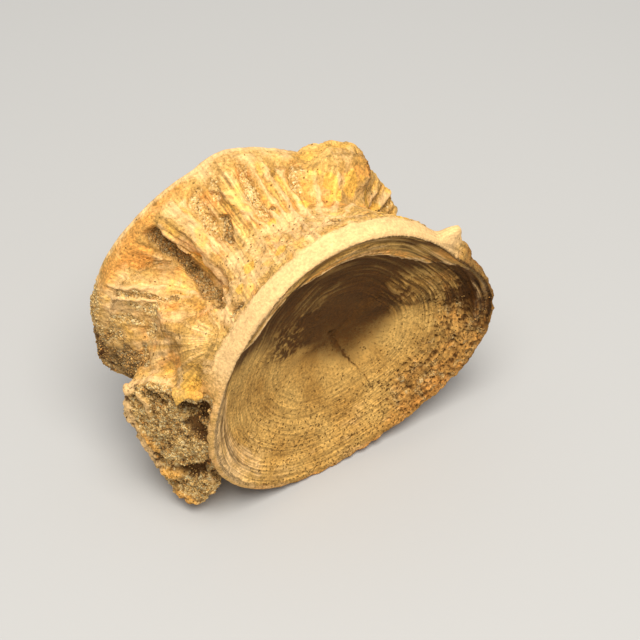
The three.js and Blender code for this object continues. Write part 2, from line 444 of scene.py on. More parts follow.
def add_stump(bm):
    """The stump stood up along its fracture, with rounded edges, and the lump at its foot."""
    corners = [bm.verts.new((along, up, -FRACTURE_DISTANCE)) for along, up in STUMP_OUTLINE]
    front = bm.faces.new(corners)
    grown = bmesh.ops.extrude_face_region(bm, geom=[front], use_keep_orig=True)["geom"]
    back = [item for item in grown if isinstance(item, bmesh.types.BMVert)]
    bmesh.ops.translate(bm, verts=back, vec=(0, 0, STUMP_DEPTH))
    edges = {edge for vertex in corners + back for edge in vertex.link_edges}
    block = bmesh.ops.bevel(
        bm, geom=list(edges), offset=STUMP_ROUNDING, segments=3, profile=0.5, affect="EDGES", material=-1
    )
    faces = {face for vertex in block["verts"] for face in vertex.link_faces}
    vertices = list({vertex for face in faces for vertex in face.verts})
    stand = Matrix.Rotation(math.pi / 2 + FRACTURE_TURN, 3, "Z") @ Matrix.Rotation(math.pi / 2, 3, "X")
    bmesh.ops.rotate(bm, verts=vertices, cent=(0, 0, 0), matrix=stand)
    bmesh.ops.recalc_face_normals(bm, faces=list(faces))
    bmesh.ops.create_icosphere(bm, subdivisions=4, radius=LUMP_RADIUS, matrix=Matrix.Translation(LUMP_MIDDLE))


def mesh_object(name, mesh):
    piece = bpy.data.objects.new(name, mesh)
    bpy.context.scene.collection.objects.link(piece)
    return piece


def applied(piece):
    """The mesh of a piece with its modifiers applied; the piece itself is removed."""
    graph = bpy.context.evaluated_depsgraph_get()
    mesh = bpy.data.meshes.new_from_object(piece.evaluated_get(graph))
    unfinished = piece.data
    bpy.data.objects.remove(piece)
    bpy.data.meshes.remove(unfinished)
    return mesh


def vectors(items, name):
    """An array of the vectors that a mesh keeps for its vertices or faces."""
    flat = np.empty(len(items) * 3)
    items.foreach_get(name, flat)
    return flat.reshape(-1, 3)


def dots(a, b):
    return np.einsum("ij,ij->i", a, b)


def corner_weights(triangles, points):
    """The weights of a triangle's three corners at a point on it."""
    first, second = triangles[:, 1] - triangles[:, 0], triangles[:, 2] - triangles[:, 0]
    reach = points - triangles[:, 0]
    one_one, one_two, two_two = dots(first, first), dots(first, second), dots(second, second)
    one_reach, two_reach = dots(first, reach), dots(second, reach)
    area = np.maximum(one_one * two_two - one_two**2, 1e-12)
    one = (two_two * one_reach - one_two * two_reach) / area
    two = (one_one * two_reach - one_two * one_reach) / area
    return np.clip(np.stack([1 - one - two, one, two], axis=1), 0, 1)


def joined_bone(sizes):
    """The centrum and the stump joined in one skin, with each point's place on the centrum."""
    bm, stations, angles = centrum(sizes)
    tree = BVHTree.FromBMesh(bm)
    bm.verts.index_update()
    corners = np.array([[v.index for v in face.verts] for face in bm.faces])
    places = np.array([v.co[:] for v in bm.verts])
    add_stump(bm)
    mesh = bpy.data.meshes.new("bone_rough")
    bm.to_mesh(mesh)
    bm.free()
    piece = mesh_object("bone_rough", mesh)
    remesh = piece.modifiers.new("join", "REMESH")
    remesh.mode = "VOXEL"
    remesh.voxel_size = sizes.voxel / MM
    mesh = applied(piece)
    points = vectors(mesh.vertices, "co")
    found = [tree.find_nearest(point) for point in points]
    nearest = np.array([hit[0][:] for hit in found])
    ring = corners[[hit[2] for hit in found]]
    weights = corner_weights(places[ring], nearest)
    bearing = np.radians(angles)
    cosine = (weights * np.cos(bearing)[ring]).sum(axis=1)
    sine = (weights * np.sin(bearing)[ring]).sum(axis=1)
    return mesh, SimpleNamespace(
        points=points,
        station=(weights * stations[ring]).sum(axis=1),
        angle=np.degrees(np.arctan2(sine, cosine)) % 360,
        away=np.array([hit[3] for hit in found]),
    )


# ------------------------------------------------------------------ places and tints

TINTS = ("cream", "amber", "gold", "sand", "umber", "pores", "layered")
CHANGED = ("height", "across") + TINTS
FACE_EDGE = 0.9  # how close to the fracture's plane its face begins

# Stretches round the axis: (middle angle, half width, share that is flat).
STRETCHES = {
    "ledge": (64, 92, 0.75),  # the layered ledge in the front cup
    "steep strip": (186, 52, 0.6),  # and the steep strip beside it
    "pitted": (326, 50, 0.4),
    "low cup": (262, 70, 0.6),  # the bottom of the front cup's wall
    "chipped front": (306, 74, 0.7),
    "chipped back": (60, 60, 0.6),
    "slope": (116, 40, 0.6),  # the crusted slope behind the front band
    "plain side": (308, 110, 0.85),  # the rest of the side, away from the struts that are placed singly
    "sandy left": (170, 19, 0.6),
    "smooth left": (168, 26, 0.6),
    "smooth right": (78, 24, 0.5),
    "crumbled rim": (322, 84, 0.75),
    "broken rim": (212, 44, 0.84),  # beside the fracture
    "stained rim": (208, 58, 0.7),
    "dark rim": (354, 48, 0.6),
    "layered rim": (20, 40, 0.5),
    "stepped band": (52, 46, 0.6),
    "under band": (290, 90, 0.8),
    "worn band": (180, 26, 0.5),
    "pale band": (104, 24, 0.4),
}
SHADED = 187  # middle angle of the painted shade low on the left, where the underside is in shadow


def survey(sizes, where):
    """Everything the relief asks about a point: its regions, its share of the radius and its place along."""
    steps = profile(sizes)
    last = len(steps) - 1
    numbers = np.arange(len(steps))
    bare = np.zeros(len(where.points))
    where.out = np.interp(where.station, numbers, steps[:, 0])
    where.y = np.interp(where.station, numbers, steps[:, 1])
    where.plane = where.points[:, [0, 2]] - (0, sizes.axis_height / MM)
    where.radius = np.hypot(where.plane[:, 0], where.plane[:, 1])
    outward, along = fracture_place(where.points)
    where.fracture = np.stack([along, where.points[:, 2]], axis=1)
    at_plane = smooth(outward, FRACTURE_DISTANCE - 2 * FACE_EDGE, FRACTURE_DISTANCE - FACE_EDGE)
    where.face = at_plane * smooth(along, FRACTURE_FROM - 1.2, FRACTURE_FROM - 0.2)
    where.stump = smooth(where.away, 0.4, 1.6) * (1 - where.face)
    bone = (1 - where.stump) * (1 - where.face)
    where.front_cup = bone * (1 - smooth(where.station, CUP_STEPS - 0.9, CUP_STEPS + 0.6))
    where.back_cup = bone * smooth(where.station, last - CUP_STEPS - 0.6, last - CUP_STEPS + 0.9)
    wall = bone * (1 - where.front_cup) * (1 - where.back_cup)
    front_end, back_start = sizes.front_band / MM, LENGTH - sizes.back_band / MM
    ragged = 0.7 * lumps(where.points, 2.4, 11)
    where.front_band = wall * (1 - smooth(where.y + 0.6 * ragged, front_end - 0.5, front_end + 0.3))
    where.back_band = wall * smooth(where.y + ragged, back_start - 2, back_start + 1.6)
    where.side = wall * (1 - where.front_band) * (1 - where.back_band)
    where.across = turn(where.angle, 90) * DEGREE
    for name in ("height",) + TINTS:
        setattr(where, name, bare.copy())
    return where


def within(part, name):
    """1 inside a named stretch round the axis, falling to 0 at its ends."""
    middle, half, top = STRETCHES[name]
    return hump(turn(part.angle, middle), half, top)


def carve(where, weight, relief):
    """Runs one region's relief on only the points that the region touches."""
    chosen = np.flatnonzero(weight > 0.004)
    part = SimpleNamespace(**{name: values[chosen] for name, values in vars(where).items()})
    part.on = weight[chosen]
    relief(part)
    for name in CHANGED:
        getattr(where, name)[chosen] = getattr(part, name)


def drawn_lines(chart, lines, warp):
    """Relief of lines on a chart: total height, and how strongly each kind of line is felt."""
    height = np.zeros(len(chart))
    kinds = {}
    for kind, half, rise, places in lines:
        part = hump(line_distance(chart + warp, places), half, 0.25)
        height += rise * part
        kinds[kind] = np.maximum(kinds.get(kind, 0), part)
    return height, kinds


# ------------------------------------------------------------------ relief of the cups

# Inner edge of the layered ledge under the upper lip, and of the steep strip on the left: (angle, radius).
LEDGE_EDGE = (
    (-24, 33), (-8, 31), (10, 29), (24, 28), (34, 26), (43, 24), (61, 23), (78, 25), (93, 27), (104, 27),
    (122, 30), (150, 29), (180, 28), (205, 30), (232, 33),
)
LEDGE_DROP = 2.0
STRIP_DROP = 1.3

# Lower edge of the dark coat on the upper wall, which is partly a brown stain and partly painted shade where
# the lip shades the wall, in X and Z from the axis.
COAT_AND_SHADE_EDGE = ((-14, 8), (-3, 9), (0, 4), (8, 0), (14, -2), (20, -5), (26, -6), (34, -3))

CRUST_PATCH = ((-9, 2), 11)  # coarse grains beside the apex: middle, radius
FLAKED = ((20, 2), 13)  # flaking rings on the right of the upper wall
APEX_SHADE = ((4, -3), 17)  # painted shade, brown, over the cup's deep middle around the apex
CRACK = ((1, -6), (2, -9), (3, -12), (5, -16), (7, -19), (8, -23))
APEX_HOLE = (1.4, -6)


def front_cup(part):
    """Rings, the layered ledge, the dark coat, flakes, grains, pits and the crack of the front cup, with
    painted shade in the coat, under the lip, under the ledge's edge and round the apex, and a painted
    highlight along the ledge's edge.
    """
    points, on, plane = part.points, part.on, part.plane
    part.across = mix(part.across, np.maximum(part.out, 0.4) * 44, smooth(on, 0.1, 0.6))
    warp = 0.8 * lumps(points, 5, 1)
    fine_warp = 0.3 * lumps(points, 1.4, 2)
    ring = streaks(part, 0.9, 9, 20)
    wide_ring = streaks(part, 2.4, 14, 21)

    ledge = within(part, "ledge") * on
    strip = within(part, "steep strip") * on * (1 - ledge)
    inside = angle_line(part.angle, LEDGE_EDGE) - part.radius + 0.5 * warp + fine_warp
    shelf = ledge * (1 - smooth(inside, -0.3, 0.2))
    wall = strip * (1 - smooth(inside, -0.6, 0.8))
    drop = LEDGE_DROP * ledge * smooth(inside, -0.2, 0.7) * (1 - smooth(inside, 6, 20))
    drop = drop + STRIP_DROP * strip * smooth(inside, -3.5, 0.5) * (1 - smooth(inside, 5, 18))
    height = -drop + shelf * (0.4 * ring + 0.26 * wide_ring - 0.5 * hump(inside + 5.2, 2.6))
    # A low ridge along the ledge's edge, painted cream as a highlight.
    painted_highlight_edge = ledge * hump(inside + 0.35 + fine_warp, 0.55, 0.2)
    height += 0.2 * painted_highlight_edge + 0.12 * wall * wide_ring

    patch = hump(np.linalg.norm(plane - CRUST_PATCH[0], axis=1) + 2.5 * warp, CRUST_PATCH[1], 0.4) * on
    flaked = hump(np.linalg.norm((plane - FLAKED[0]) * (0.8, 1.2), axis=1) + 2 * warp, FLAKED[1], 0.4) * on
    pitted = within(part, "pitted") * smooth(part.out + 0.06 * warp, 0.5, 0.8) * on
    low = within(part, "low cup") * smooth(part.out, 0.4, 0.75) * on
    plain = np.clip(wall + shelf, 0, 1)
    height += on * (1 - plain) * (0.15 * ring + 0.15 * wide_ring)

    # The dark coat: a brown stain, deepened into painted shade on the upper wall under the lip.
    coat_and_shade_edge = np.interp(plane[:, 0], *zip(*COAT_AND_SHADE_EDGE))
    ragged = smooth(plane[:, 0], 10, 17)
    depth = plane[:, 1] - coat_and_shade_edge + 1.8 * warp + 3 * fine_warp + 1.4 * ragged * (ring + wide_ring)
    coat_and_shade = smooth(depth, mix(-7, -1.5, ragged), mix(6, 2.2, ragged)) * on * (1 - shelf) * (1 - 0.85 * wall)
    flakes = flaked * smooth(streaks(part, 0.45, 5, 22) + 0.5 * lumps(points, 2, 12), 0.05, 0.4)
    height += 0.25 * ragged * coat_and_shade * (1 - smooth(depth, 2, 7)) + 0.35 * flakes

    grain_height, number = grained(points, 0.75, 3)
    height += patch * (0.5 * grain_height + 0.3 * lumps(points, 3, 4))
    pit_near, pit_number = cells(points * (1, 1, 1.2), 1.15, 5)
    rows = smooth(wide_ring, -0.05, 0.35)
    chance = np.clip(0.5 * pitted + 0.25 * low * rows, 0, 1) * (1 - plain)
    pit = (1 - smooth(pit_near + 0.4 * fine_warp, 0.15, 0.4)) * (pit_number < chance)
    crumb_height = grained(points, 0.95, 7)[0]
    height -= 0.5 * pit + pitted * (0.5 * rough(points, 1.7, 6) + 0.15 - 0.4 * crumb_height)

    crack = hump(line_distance(plane + 0.9 * fine_warp[:, None], CRACK), 0.3, 0.1) * on
    hole = hump(np.linalg.norm(plane - APEX_HOLE, axis=1), 1.1, 0.3) * on
    height -= 0.3 * crack + 0.7 * hole
    chipped = within(part, "chipped front") * smooth(part.out, 0.9, 0.98) * on
    height -= chipped * (0.25 + 0.45 * rough(points, 2.6, 8))

    dark_line = smooth(-ring - 0.5 * wide_ring, 0.05, 0.5)
    light_line = smooth(ring, 0, 0.4)
    part.height += height
    # Umber of the coat: stain and painted shade on the upper wall.
    part.umber += 0.95 * coat_and_shade * (1 - 0.25 * light_line) * (1 - 0.35 * flaked - 0.45 * flakes)
    part.umber += 0.16 * on * (1 - plain) * smooth(-ring, 0.1, 0.5)
    part.umber += 0.65 * hole + 0.6 * crack + 0.65 * pit
    part.umber += patch * (0.85 - 0.45 * (number > 0.6))
    part.umber += pitted * (0.33 + 0.38 * smooth(-crumb_height, 0, 0.25))
    # Painted shade on the steep drop under the ledge's edge, and a painted shadow line in the groove under
    # the lip.
    part.umber += 0.45 * ledge * hump(inside - 1.0, 1.8)
    part.umber += shelf * (0.1 + 0.5 * dark_line + 0.35 * hump(inside + 5.6, 1.4))
    part.umber += 0.4 * shelf * smooth(plane[:, 0], 6, 18)
    broken_line = smooth(-ring - 0.5 * wide_ring + 0.8 * fine_warp, 0, 0.3)
    part.umber += 0.75 * wall * broken_line * smooth(plane[:, 1], -18, -6)
    # Painted shade over the cup's deep middle round the apex.
    part.umber += 0.9 * hump(np.linalg.norm(plane - APEX_SHADE[0], axis=1) + 1.5 * warp, APEX_SHADE[1], 0.3) * on
    # Cream: a painted highlight along the ledge's edge, pale rings, the steep strip and the flakes.
    part.cream += 0.8 * painted_highlight_edge + 0.5 * shelf * light_line + wall * (0.5 + 0.4 * light_line) + 0.3 * flakes
    part.cream += 0.3 * low * smooth(rough(points, 5, 10), -0.1, 0.5)
    part.amber += 0.6 * pitted + 0.35 * low * smooth(part.out, 0.8, 1)
    part.amber += 0.35 * wall * smooth(wide_ring, -0.1, 0.4)
    part.amber += 0.5 * coat_and_shade * smooth(wide_ring, 0.1, 0.5) + 0.7 * shelf * smooth(wide_ring, 0, 0.4)
    part.sand += 0.22 * patch + 0.6 * pitted * smooth(lumps(points, 2, 9), -0.1, 0.3)
    part.pores += np.clip(pitted + (0.25 + 0.6 * rows) * low + 0.16 * on, 0, 1) * (1 - plain) + 0.3 * patch
    part.layered += on * (0.45 + 0.15 * low) * smooth(part.out, 0.2, 0.5)
    part.layered += 0.9 * shelf + 0.7 * wall + 0.5 * flaked


BACK_CRACKS = (((-2, 1), (-8, 6), (-11, 12), (-17, 17)), ((2, -3), (6, -10), (5, -18), (9, -25)))


def back_cup(part):
    """Rings, a brown stain that deepens into painted shade towards the middle, and cracks of the back cup,
    with sandy matrix left at the bottom of it.
    """
    points, on, plane = part.points, part.on, part.plane
    part.across = mix(part.across, np.maximum(part.out, 0.35) * 42, smooth(on, 0.1, 0.6))
    ring = streaks(part, 0.9, 9, 30)
    wide_ring = streaks(part, 2.6, 14, 31)
    warp = lumps(points, 6, 32)
    ragged = 0.3 * rough(points, 10, 33)
    spread = ragged + 0.12 * rough(points, 3, 40)
    buried = smooth(0.42 - part.out - 0.006 * plane[:, 1] + spread, -0.08, 0.12) * on
    # A brown stain, with painted shade deepening it towards the cup's middle.
    stain = smooth(0.72 - part.out + 0.5 * ragged, -0.15, 0.3) * (1 - buried) * on
    grain_height = grained(points, 1.2, 34)[0]
    crack = np.zeros(len(points))
    for line in BACK_CRACKS:
        crack = np.maximum(crack, hump(line_distance(plane + 0.5 * warp[:, None], line), 0.45, 0.1) * on)
    height = on * (1 - buried) * (0.14 * ring + 0.3 * wide_ring + 0.3 * rough(points, 4, 38))
    height += buried * (0.45 * grain_height + 0.5 + 1.0 * lumps(points, 5, 35)) - 0.4 * crack * (1 - buried)
    chipped = within(part, "chipped back") * smooth(part.out, 0.86, 0.97) * on
    part.height += height - chipped * (0.4 + 0.6 * rough(points, 3, 36))
    part.sand += 0.9 * buried
    part.amber += 0.6 * on * (1 - 0.4 * buried) * smooth(warp, -0.2, 0.5)
    part.cream += on * (1 - buried) * 0.35 * smooth(ring, 0.1, 0.5)
    part.cream += on * 0.5 * smooth(part.out + ragged, 0.75, 0.95)
    # The stain's umber is partly painted shade.
    part.umber += 0.6 * stain + 0.6 * crack + 0.12 * on * smooth(lumps(points, 3, 37), 0.15, 0.5)
    part.pores += on * (0.3 + 0.5 * smooth(lumps(points, 8, 39), -0.1, 0.3))
    part.layered += 0.4 * on * (1 - buried)


# ------------------------------------------------------------------ relief of the side

DEGREE = 0.56  # millimetres round the side for each degree

# Lines on the side: (kind, half width, height, places as (angle, distance behind the front lip)).
SIDE_LINES = (
    ("pit", 1.7, -2.8, ((140, 30), (142, 28), (144, 25))),
    ("pit", 1.8, -2.4, ((145, 24), (146, 21), (146, 18))),
    ("pit", 1.4, -1.8, ((145, 17), (144, 13), (141, 11))),
    ("pit", 1.1, -1.2, ((139, 6.5), (135, 6))),
    ("trough", 2.2, -1.6, ((121, 31), (124, 28), (126, 24))),
    ("trough", 1.5, -1.3, ((115, 31), (118, 27))),
    ("pit", 1.3, -1.4, ((121, 24), (124, 21))),
    ("trough", 2.1, -1.6, ((104, 31), (107, 26), (108, 20))),
    ("trough", 2.6, -1.0, ((87, 29), (90, 24))),
    ("pit", 0.8, -0.9, ((104, 20.5),)),
    ("pit", 0.6, -0.9, ((85, 19.5),)),
    ("pit", 0.6, -0.8, ((77, 20.5),)),
    ("pit", 0.9, -0.8, ((92, 8.5), (88, 8))),
    ("dip", 2.6, -0.7, ((152, 31), (149, 26))),
    ("pit", 1.2, -1.0, ((159, 33.5),)),
    ("dip", 3.4, -0.4, ((166, 29), (163, 24))),
    ("strut", 0.7, 0.5, ((136, 30), (138, 28), (143, 25))),
    ("strut", 2.2, 0.9, ((130, 31), (130, 26), (134, 22), (140, 17))),
    ("strut", 0.8, 0.5, ((126, 30), (126, 26), (131, 21))),
    ("strut", 0.8, 0.8, ((117, 29), (113, 24), (111, 19))),
    ("strut", 0.7, 0.7, ((114, 27), (110, 23), (108, 17))),
    ("strut", 0.7, 0.7, ((111, 26), (107, 22), (104, 17))),
    ("strut", 0.8, 0.7, ((102, 31), (103, 26), (102, 18))),
    ("strut", 0.7, 0.5, ((99, 30), (98, 23), (99, 15), (100, 9))),
    ("strut", 0.8, 0.4, ((95, 28), (93, 21), (95, 13))),
    ("strut", 0.9, 0.3, ((82, 27), (84, 20), (91, 13))),
    ("strut", 0.9, 0.3, ((72, 24), (80, 16), (94, 9))),
    ("strut", 0.8, 0.3, ((70, 16), (82, 11), (95, 7.5))),
    ("strut", 0.6, 0.7, ((160, 32), (156, 26), (150, 20))),
    ("strut", 0.5, 0.6, ((162, 29), (158, 24), (151, 19.5))),
    ("pit", 0.4, -0.5, ((160, 27), (154, 21))),
)
# Flakes and stains of the side: (angle, distance behind the front lip, half width).
GOLD_FLAKES = (
    (77, 23, 2.4), (66, 23, 3), (50, 22, 3.6), (36, 25, 4), (92, 20, 1.7), (108, 18, 1.2), (66, 7, 4.5),
    (76, 20, 1.6), (170, 6, 2.6), (58, 12, 4), (124, 12, 1.8), (112, 9, 1.6), (131, 9, 1.4),
)
AMBER_SPOTS = (
    (149, 30.5, 3.4), (120, 28, 2), (107, 28.5, 2), (94, 19, 2.4), (137, 25, 1.4), (111, 14, 2.6),
    (96, 16, 2), (158, 20, 3),
)
FANS = (  # fine ridges spreading from a point: (angle, place, middle, half width, from, to)
    (146, 3.0, 168, 26, 4, 30),
    (97, 5.0, 76, 26, 5, 30),
)
PLAIN_LINES = (212, 406, 11.5)  # the plainer struts and troughs on the rest of the side: from, to, step


def side_lines():
    """The lines of the upper side, and a seeded run of plainer ones round the rest of it."""
    random = np.random.default_rng(7)
    lines = list(SIDE_LINES)
    first, last, step = PLAIN_LINES
    for angle in np.arange(first, last, step):
        angle += random.uniform(-3, 3)
        lean, width, top = random.uniform(-7, 7), random.uniform(1.2, 2.6), random.uniform(28, 31)
        trough = ((angle, top), (angle + lean / 2, 26), (angle + lean, random.uniform(19, 23)))
        strut = ((angle + 5, 31), (angle + 6 + lean, 25), (angle + 5 + 2 * lean, random.uniform(9, 20)))
        lines.append(("trough", width, -random.uniform(0.5, 1.5), trough))
        lines.append(("strut", random.uniform(0.6, 1.2), random.uniform(0.4, 1.1), strut))
    return lines


def side(part):
    """Struts, troughs full of sand, pits, fibres and flakes of the side between the rims."""
    points, on, y = part.points, part.on, part.y
    warp = 0.7 * np.stack([lumps(points, 2.6, 41), lumps(points, 2.6, 42)], axis=1)
    chart = np.stack([turn(part.angle, 90) * DEGREE, y], axis=1)
    lines = []
    for kind, half, rise, places in side_lines():
        start = places[0][0]
        across = [(turn(start, 90) + angle - start) * DEGREE for angle, place in places]
        lines.append((kind, half, rise, [(far, place) for far, (angle, place) in zip(across, places)]))
    height, kinds = drawn_lines(chart, lines, warp)
    trough, strut, pit = kinds["trough"], kinds["strut"], kinds["pit"]
    fanned = np.zeros(len(points))
    for angle, place, middle, half, start, end in FANS:
        reach = hump(turn(part.angle, middle), half, 0.5)
        reach = reach * hump(y - (start + end) / 2, (end - start) / 2, 0.7)
        bearing = np.arctan2(y - place, turn(part.angle, angle) * DEGREE)
        part.across = mix(part.across, bearing * 14, smooth(reach, 0.1, 0.4))
        fanned = np.maximum(fanned, reach)
    fibre = streaks(part, 1.0, 12, 43)
    fine_fibre = streaks(part, 0.55, 9, 44)
    flake, amber = np.zeros(len(points)), np.zeros(len(points))
    for spots, felt in ((GOLD_FLAKES, flake), (AMBER_SPOTS, amber)):
        for angle, place, half in spots:
            distance = np.hypot(turn(part.angle, angle) * DEGREE, y - place) + 1.1 * warp[:, 0]
            np.maximum(felt, hump(distance, half, 0.5), out=felt)
    slope = within(part, "slope") * hump(y - 12, 9, 0.5)
    plain_side = within(part, "plain side")
    left = within(part, "sandy left") * smooth(y, 14, 22)
    # Painted shade low on the left, where the underside is in shadow; sand is laid there too.
    shaded = hump(turn(part.angle, SHADED) + 9 * warp[:, 1], 13, 0.3) * smooth(y + 2 * warp[:, 0], 19, 24)
    patchy = smooth(rough(points, 6, 45), -0.25, 0.45)
    stuck = (0.42 * slope + 0.75 * plain_side + 0.75 * left) * patchy * (1 - strut)
    grit = np.clip((0.6 + 0.25 * patchy) * trough + pit + stuck, 0, 1) * on
    grain_height = grained(points, 1.05, 46)[0]
    height += grit * (0.3 * grain_height + 0.22 * lumps(points, 2.6, 47))
    height += slope * 0.4 * rough(points, 2.2, 48) + 0.45 * rough(points, 6, 54)
    softer = 0.9 * within(part, "smooth right") + 0.45 * within(part, "smooth left")
    plain = (1 - 0.5 * softer) * (1 - 0.4 * slope)
    height += (0.3 * fibre + 0.22 * fine_fibre) * (1 - 0.5 * grit) * (1 - 0.35 * fanned) * plain
    height += (0.22 * rough(points, 3, 49) + 0.16 * lumps(points, 0.9, 50)) * (1 - 0.6 * flake)
    part.height += on * height
    clean = 1 - 0.75 * grit
    part.sand += grit * (1 - 0.85 * flake) + 0.6 * on * shaded
    pale = 0.55 * strut + 0.28 * smooth(fibre, -0.1, 0.4) + 0.3 * smooth(lumps(points, 4, 51), -0.1, 0.4)
    # The cream on the sandy left is painted light, for light falling on that side, which faces up and to the
    # left.
    part.cream += on * (0.35 * slope + clean * pale + 0.3 * left + 0.06)
    part.gold += on * flake + 0.5 * on * clean * smooth(rough(points, 5, 52), 0.0, 0.5)
    dark_line = clean * (1 - softer) * smooth(-fine_fibre, 0.2, 0.6)
    # Painted shade in the gaps between the sand's grains.
    gaps = 0.22 * trough * smooth(-grain_height, 0, 0.2)
    # Umber: painted shade in the pits and the V channel, low on the left and between grains, and real dark
    # lines along the fibres.
    part.umber += on * (0.5 * pit + 0.35 * dark_line + 0.65 * shaded + gaps)
    part.amber += on * np.clip(amber + 0.8 * smooth(rough(points, 6, 53), 0.0, 0.5) * clean, 0, 1)
    part.pores += on * (0.03 + 0.12 * slope + 0.15 * grit)
    part.layered += on * (0.75 - 0.45 * grit - 0.3 * strut) * plain


# ------------------------------------------------------------------ relief of the rims

def front_rim(part):
    """The smooth pale band round the front rim: crumbled where it lies low, broken beside the fracture."""
    points, on = part.points, part.on
    crumbled = within(part, "crumbled rim") * on
    broken = within(part, "broken rim") * on
    broken = broken * smooth(part.y + 0.5 * lumps(points, 1.6, 68), 1.0, 1.8)
    pit_near, number = cells(points + 0.7 * lumps(points, 2.5, 67)[:, None], 1.7, 61)
    pit = (1 - smooth(pit_near, 0.1, 0.4)) * (number < 0.22) * crumbled
    grain_height = grained(points, 1.15, 84)[0]
    wander = rough(points, 6, 62)
    edge = on * smooth(part.y + 1.1 * lumps(points, 4, 64), 3.2, 5.2)
    part.across = mix(part.across, part.y * 1.4, smooth(on, 0.1, 0.6))
    part.height += on * (0.1 * wander + 0.04 * lumps(points, 1.2, 66)) + 0.5 * broken * grain_height
    part.height -= 0.5 * pit + crumbled * (0.2 + 0.35 * rough(points, 2.2, 63)) + 0.3 * edge + 0.8 * broken
    stained = within(part, "stained rim") * on
    part.cream += on * (1 - crumbled) * (1 - 0.45 * edge) * (1 - broken) * (1 - 0.6 * stained)
    part.amber += 0.6 * crumbled + 0.35 * on * smooth(wander, 0.15, 0.7) + 0.25 * edge + 0.45 * stained
    part.sand += 0.3 * crumbled * smooth(lumps(points, 2, 65), 0, 0.5) + 0.9 * broken
    part.umber += 0.6 * pit + crumbled * (0.18 + 0.45 * within(part, "dark rim"))
    # Painted shade between the broken rim's grains, over a darker base.
    part.umber += broken * (0.25 + 0.5 * smooth(-grain_height, 0, 0.25))
    part.umber += 0.3 * broken * smooth(lumps(points, 3, 69), -0.1, 0.4)
    part.pores += 0.6 * crumbled
    part.layered += on * (0.12 + 0.5 * within(part, "layered rim"))


def back_rim(part):
    """The band round the back rim: amber with a pale edge along its lip that is a painted highlight, painted
    shade low on the left, and broken in steps at the upper right.
    """
    points, on = part.points, part.on
    broken = within(part, "stepped band") * on
    under = within(part, "under band") * on
    worn = within(part, "worn band") * on
    facets = cells(points, 5.5, 66)[0]
    grain_height, number = grained(points, 1.2, 70)
    part.height += on * (0.14 * rough(points, 5, 67) + 0.05 * np.cos(math.tau * part.y / 1.3))
    part.height += broken * (1.5 * (0.5 - facets) + 0.4 * rough(points, 2.5, 68))
    part.height -= under * (0.2 + 0.35 * rough(points, 3, 69))
    part.height += worn * (0.4 * grain_height + 0.5 * rough(points, 3, 71))
    # Painted highlight: a pale edge along the back lip.
    edge = smooth(part.y, 33.6, 35.2)
    pale = within(part, "pale band")
    part.cream += on * (0.5 * edge + 0.4 * pale + 0.35 * smooth(rough(points, 7, 72), -0.1, 0.5))
    part.amber += 0.75 * on * (1 - 0.6 * edge) * (1 - 0.6 * broken) * (1 - 0.8 * pale)
    part.sand += 0.5 * under + 0.7 * worn
    part.gold += 0.45 * broken
    # Painted shade low on the left, where the underside is in shadow.
    shaded = hump(turn(part.angle, SHADED) + 16 * lumps(points, 3, 73), 12, 0.2)
    part.umber += 0.35 * worn * (number > 0.7) + 0.75 * on * shaded
    part.pores += 0.06 * on + 0.3 * under
    part.layered += 0.35 * on


# ------------------------------------------------------------------ relief of the stump

# Hollows and ridges of the fracture: (kind, half width, height, places as (along, up)).
FACE_LINES = (
    ("hollow", 3.8, -4.2, ((23.5, 35.5), (21.5, 35), (19.5, 36))),
    ("hollow", 3.0, -1.6, ((22, 31), (19, 29))),
    ("hollow", 1.7, -2.6, ((31, 35), (28.5, 34.5))),
    ("hollow", 2.6, -2.2, ((24.5, 13.5), (21, 16), (18, 19))),
    ("flake", 1.1, 0.7, ((34, 34), (32.5, 32), (32, 29))),
    ("crest", 2.4, 0.5, ((36, 36), (38, 31), (37, 24), (34.5, 18), (32, 12))),
    ("stain", 1.6, 0.4, ((33.5, 21), (31, 16))),
    ("stain", 2.6, 1.0, ((29, 11), (26.5, 11.5))),
    ("stain", 2.6, 0.6, ((26, 5), (23, 4.5))),
)
SHEET_EDGE = ((17, 40.5), (19, 41), (21.5, 40.5), (23, 39), (24.6, 36.6), (26, 38.6), (28, 42))


